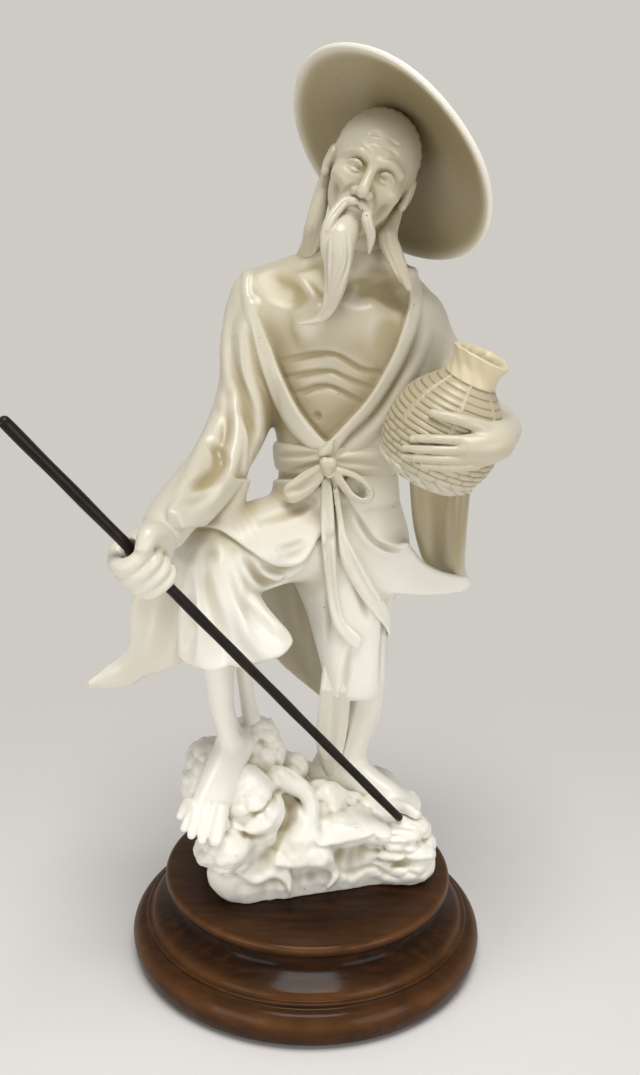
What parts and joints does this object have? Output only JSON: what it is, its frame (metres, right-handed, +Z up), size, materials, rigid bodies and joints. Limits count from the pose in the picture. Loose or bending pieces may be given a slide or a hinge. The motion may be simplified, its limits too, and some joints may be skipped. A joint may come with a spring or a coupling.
{
  "type": "okimono carving",
  "caption": "Cream figure of an old fisherman in a wide hat with a creel and a pull-out fishing pole, standing on a rock on a turned wooden plinth.",
  "frame": {"origin": "centre of the plinth's underside, on the table", "axes": "+Z up, +Y from the figure's front to its back, +X to the viewer's right, the figure's own left"},
  "size_m": [0.1787, 0.1736, 0.3693],
  "materials": {
    "ivory_resin": "satin",
    "aged_ivory_resin": "satin",
    "plinth_wood": "polished",
    "rod_wood": "satin",
    "baize": "matte",
    "screw_brass": "satin"
  },
  "bodies": {
    "figure": {"plinth": "plinth_wood", "baize_pad": "baize", "plinth_screws": "screw_brass", "rock_base": "ivory_resin", "standing_leg": "ivory_resin", "raised_leg": "ivory_resin", "skirt": "ivory_resin", "thigh_drape": "ivory_resin", "back_panel": "ivory_resin", "leg_strip": "ivory_resin", "torso": "ivory_resin", "sash": "ivory_resin", "sash_bow": "ivory_resin", "sash_tail_long": "ivory_resin", "sash_tail_side": "ivory_resin", "right_sleeve": "ivory_resin", "right_sleeve_drop": "ivory_resin", "right_hand": "ivory_resin", "left_sleeve": "ivory_resin", "left_sleeve_drop": "ivory_resin", "left_hand": "ivory_resin", "creel": "ivory_resin", "creel_neck": "aged_ivory_resin", "head": "ivory_resin", "beard": "ivory_resin", "hair_locks": "ivory_resin", "hat": "ivory_resin", "neck_peg": "ivory_resin", "hat_peg": "ivory_resin", "waist_peg": "ivory_resin", "hip_peg": "ivory_resin", "arm_pegs": "ivory_resin", "wrist_pegs": "ivory_resin", "knee_pegs": "ivory_resin", "foot_pegs": "ivory_resin", "creel_peg": "ivory_resin", "bow_peg": "ivory_resin"},
    "pole": {"rod": "rod_wood"}
  },
  "joints": [
    {"name": "pole_draw", "type": "slide", "parent": "figure", "child": "pole", "axis": [-0.5671, -0.3317, 0.7539], "range_m": [0, 0.18]}
  ]
}
